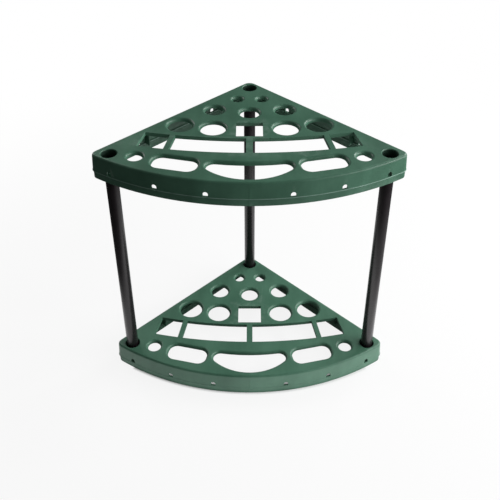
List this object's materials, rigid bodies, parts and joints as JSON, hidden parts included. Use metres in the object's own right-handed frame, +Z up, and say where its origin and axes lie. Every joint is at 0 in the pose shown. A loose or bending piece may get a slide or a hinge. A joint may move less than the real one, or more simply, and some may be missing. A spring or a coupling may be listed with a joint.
{
  "type": "freestanding garden tool rack",
  "caption": "Quarter-fan corner rack: perforated plastic trays one above the other, held apart by press-fit tubes, that stands and keeps long garden tools upright.",
  "frame": {"origin": "middle of the bounding box's underside, on the floor", "axes": "+X along the width, +Y from the bowed front towards the rounded rear tip, +Z up; the left half mirrors the right"},
  "size_m": [0.5992, 0.4014, 0.5563],
  "materials": {
    "tray": "fine matte moulded texture, deep green",
    "tube": "black, satin"
  },
  "bodies": {
    "root": {"lower_tray": "tray", "upper_tray": "tray", "rear_tube": "tube", "left_tube": "tube", "right_tube": "tube"}
  },
  "joints": []
}
